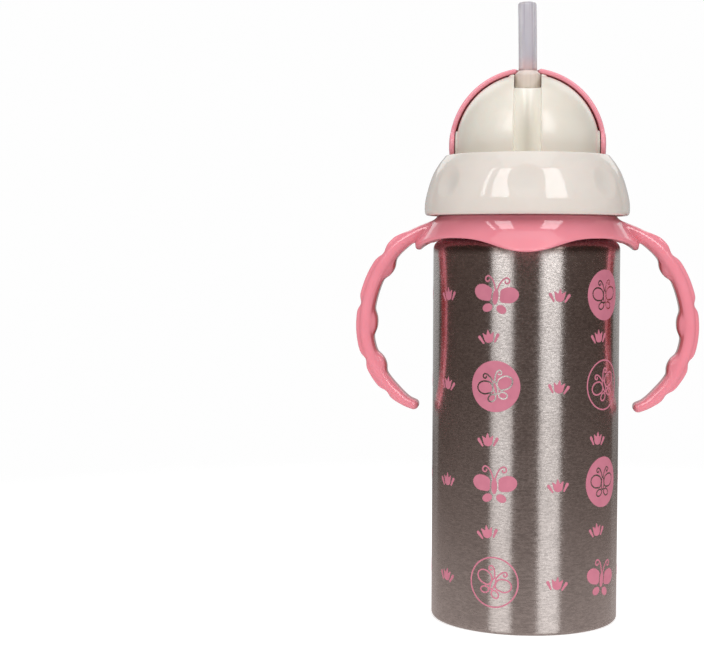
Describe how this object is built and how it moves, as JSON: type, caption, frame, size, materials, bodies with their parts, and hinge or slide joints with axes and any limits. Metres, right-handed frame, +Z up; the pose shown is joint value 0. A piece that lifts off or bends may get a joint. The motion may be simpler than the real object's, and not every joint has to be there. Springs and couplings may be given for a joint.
{
  "type": "straw sippy cup",
  "caption": "Toddler's straw cup: vacuum steel bottle, two-handle frame, screw ring and domed straw lid with a swinging hood.",
  "frame": {"origin": "centre of the base, on the surface the cup stands on", "axes": "+Z up along the bottle's axis, -Y towards the straw channel (front), +X towards the handle at the viewer's right"},
  "size_m": [0.114, 0.0738, 0.205],
  "materials": {
    "brushed_steel": "brushed",
    "inner_steel": "satin",
    "pink_plastic": "gloss",
    "cream_plastic": "gloss",
    "silicone": "satin",
    "clear_plastic": "satin",
    "dark_metal": "satin"
  },
  "bodies": {
    "bottle": {"outer_shell": "brushed_steel", "inner_liner": "inner_steel", "base_plate": "brushed_steel", "vacuum_seal": "dark_metal", "getter": "dark_metal", "handle_frame": "pink_plastic"},
    "lid": {"straw_dome": "cream_plastic", "lid_seal": "silicone", "straw_base": "silicone", "straw_tube": "clear_plastic", "vent_valve": "silicone"},
    "screw_ring": {"cap_ring": "cream_plastic"},
    "hood_cover": {"hood": "pink_plastic"},
    "straw_end": {"straw_tip": "silicone"}
  },
  "joints": [
    {"name": "ring_turn", "type": "hinge", "parent": "lid", "child": "screw_ring", "pos_m": [0, 0, 0.145], "axis": [0, 0, 1], "range_deg": [0, 450]},
    {"name": "lid_lift", "type": "slide", "parent": "bottle", "child": "lid", "axis": [0, 0, 1], "range_m": [0, 0.00501]},
    {"name": "hood_swing", "type": "hinge", "parent": "lid", "child": "hood_cover", "pos_m": [0, 0, 0.1576], "axis": [1, 0, 0], "range_deg": [0, 98], "deforming": ["straw_tip"]},
    {"name": "straw_fold", "type": "hinge", "parent": "lid", "child": "straw_end", "pos_m": [0, -0.0006, 0.1752], "axis": [1, 0, 0], "range_deg": [0, 134.1], "deforming": ["straw_tip"]}
  ],
  "couplings": [
    {"joint": "lid_lift", "follows": "ring_turn", "m_per_rad": 0.00063662},
    {"joint": "straw_fold", "follows": "hood_swing", "ratio": 1.3673}
  ]
}
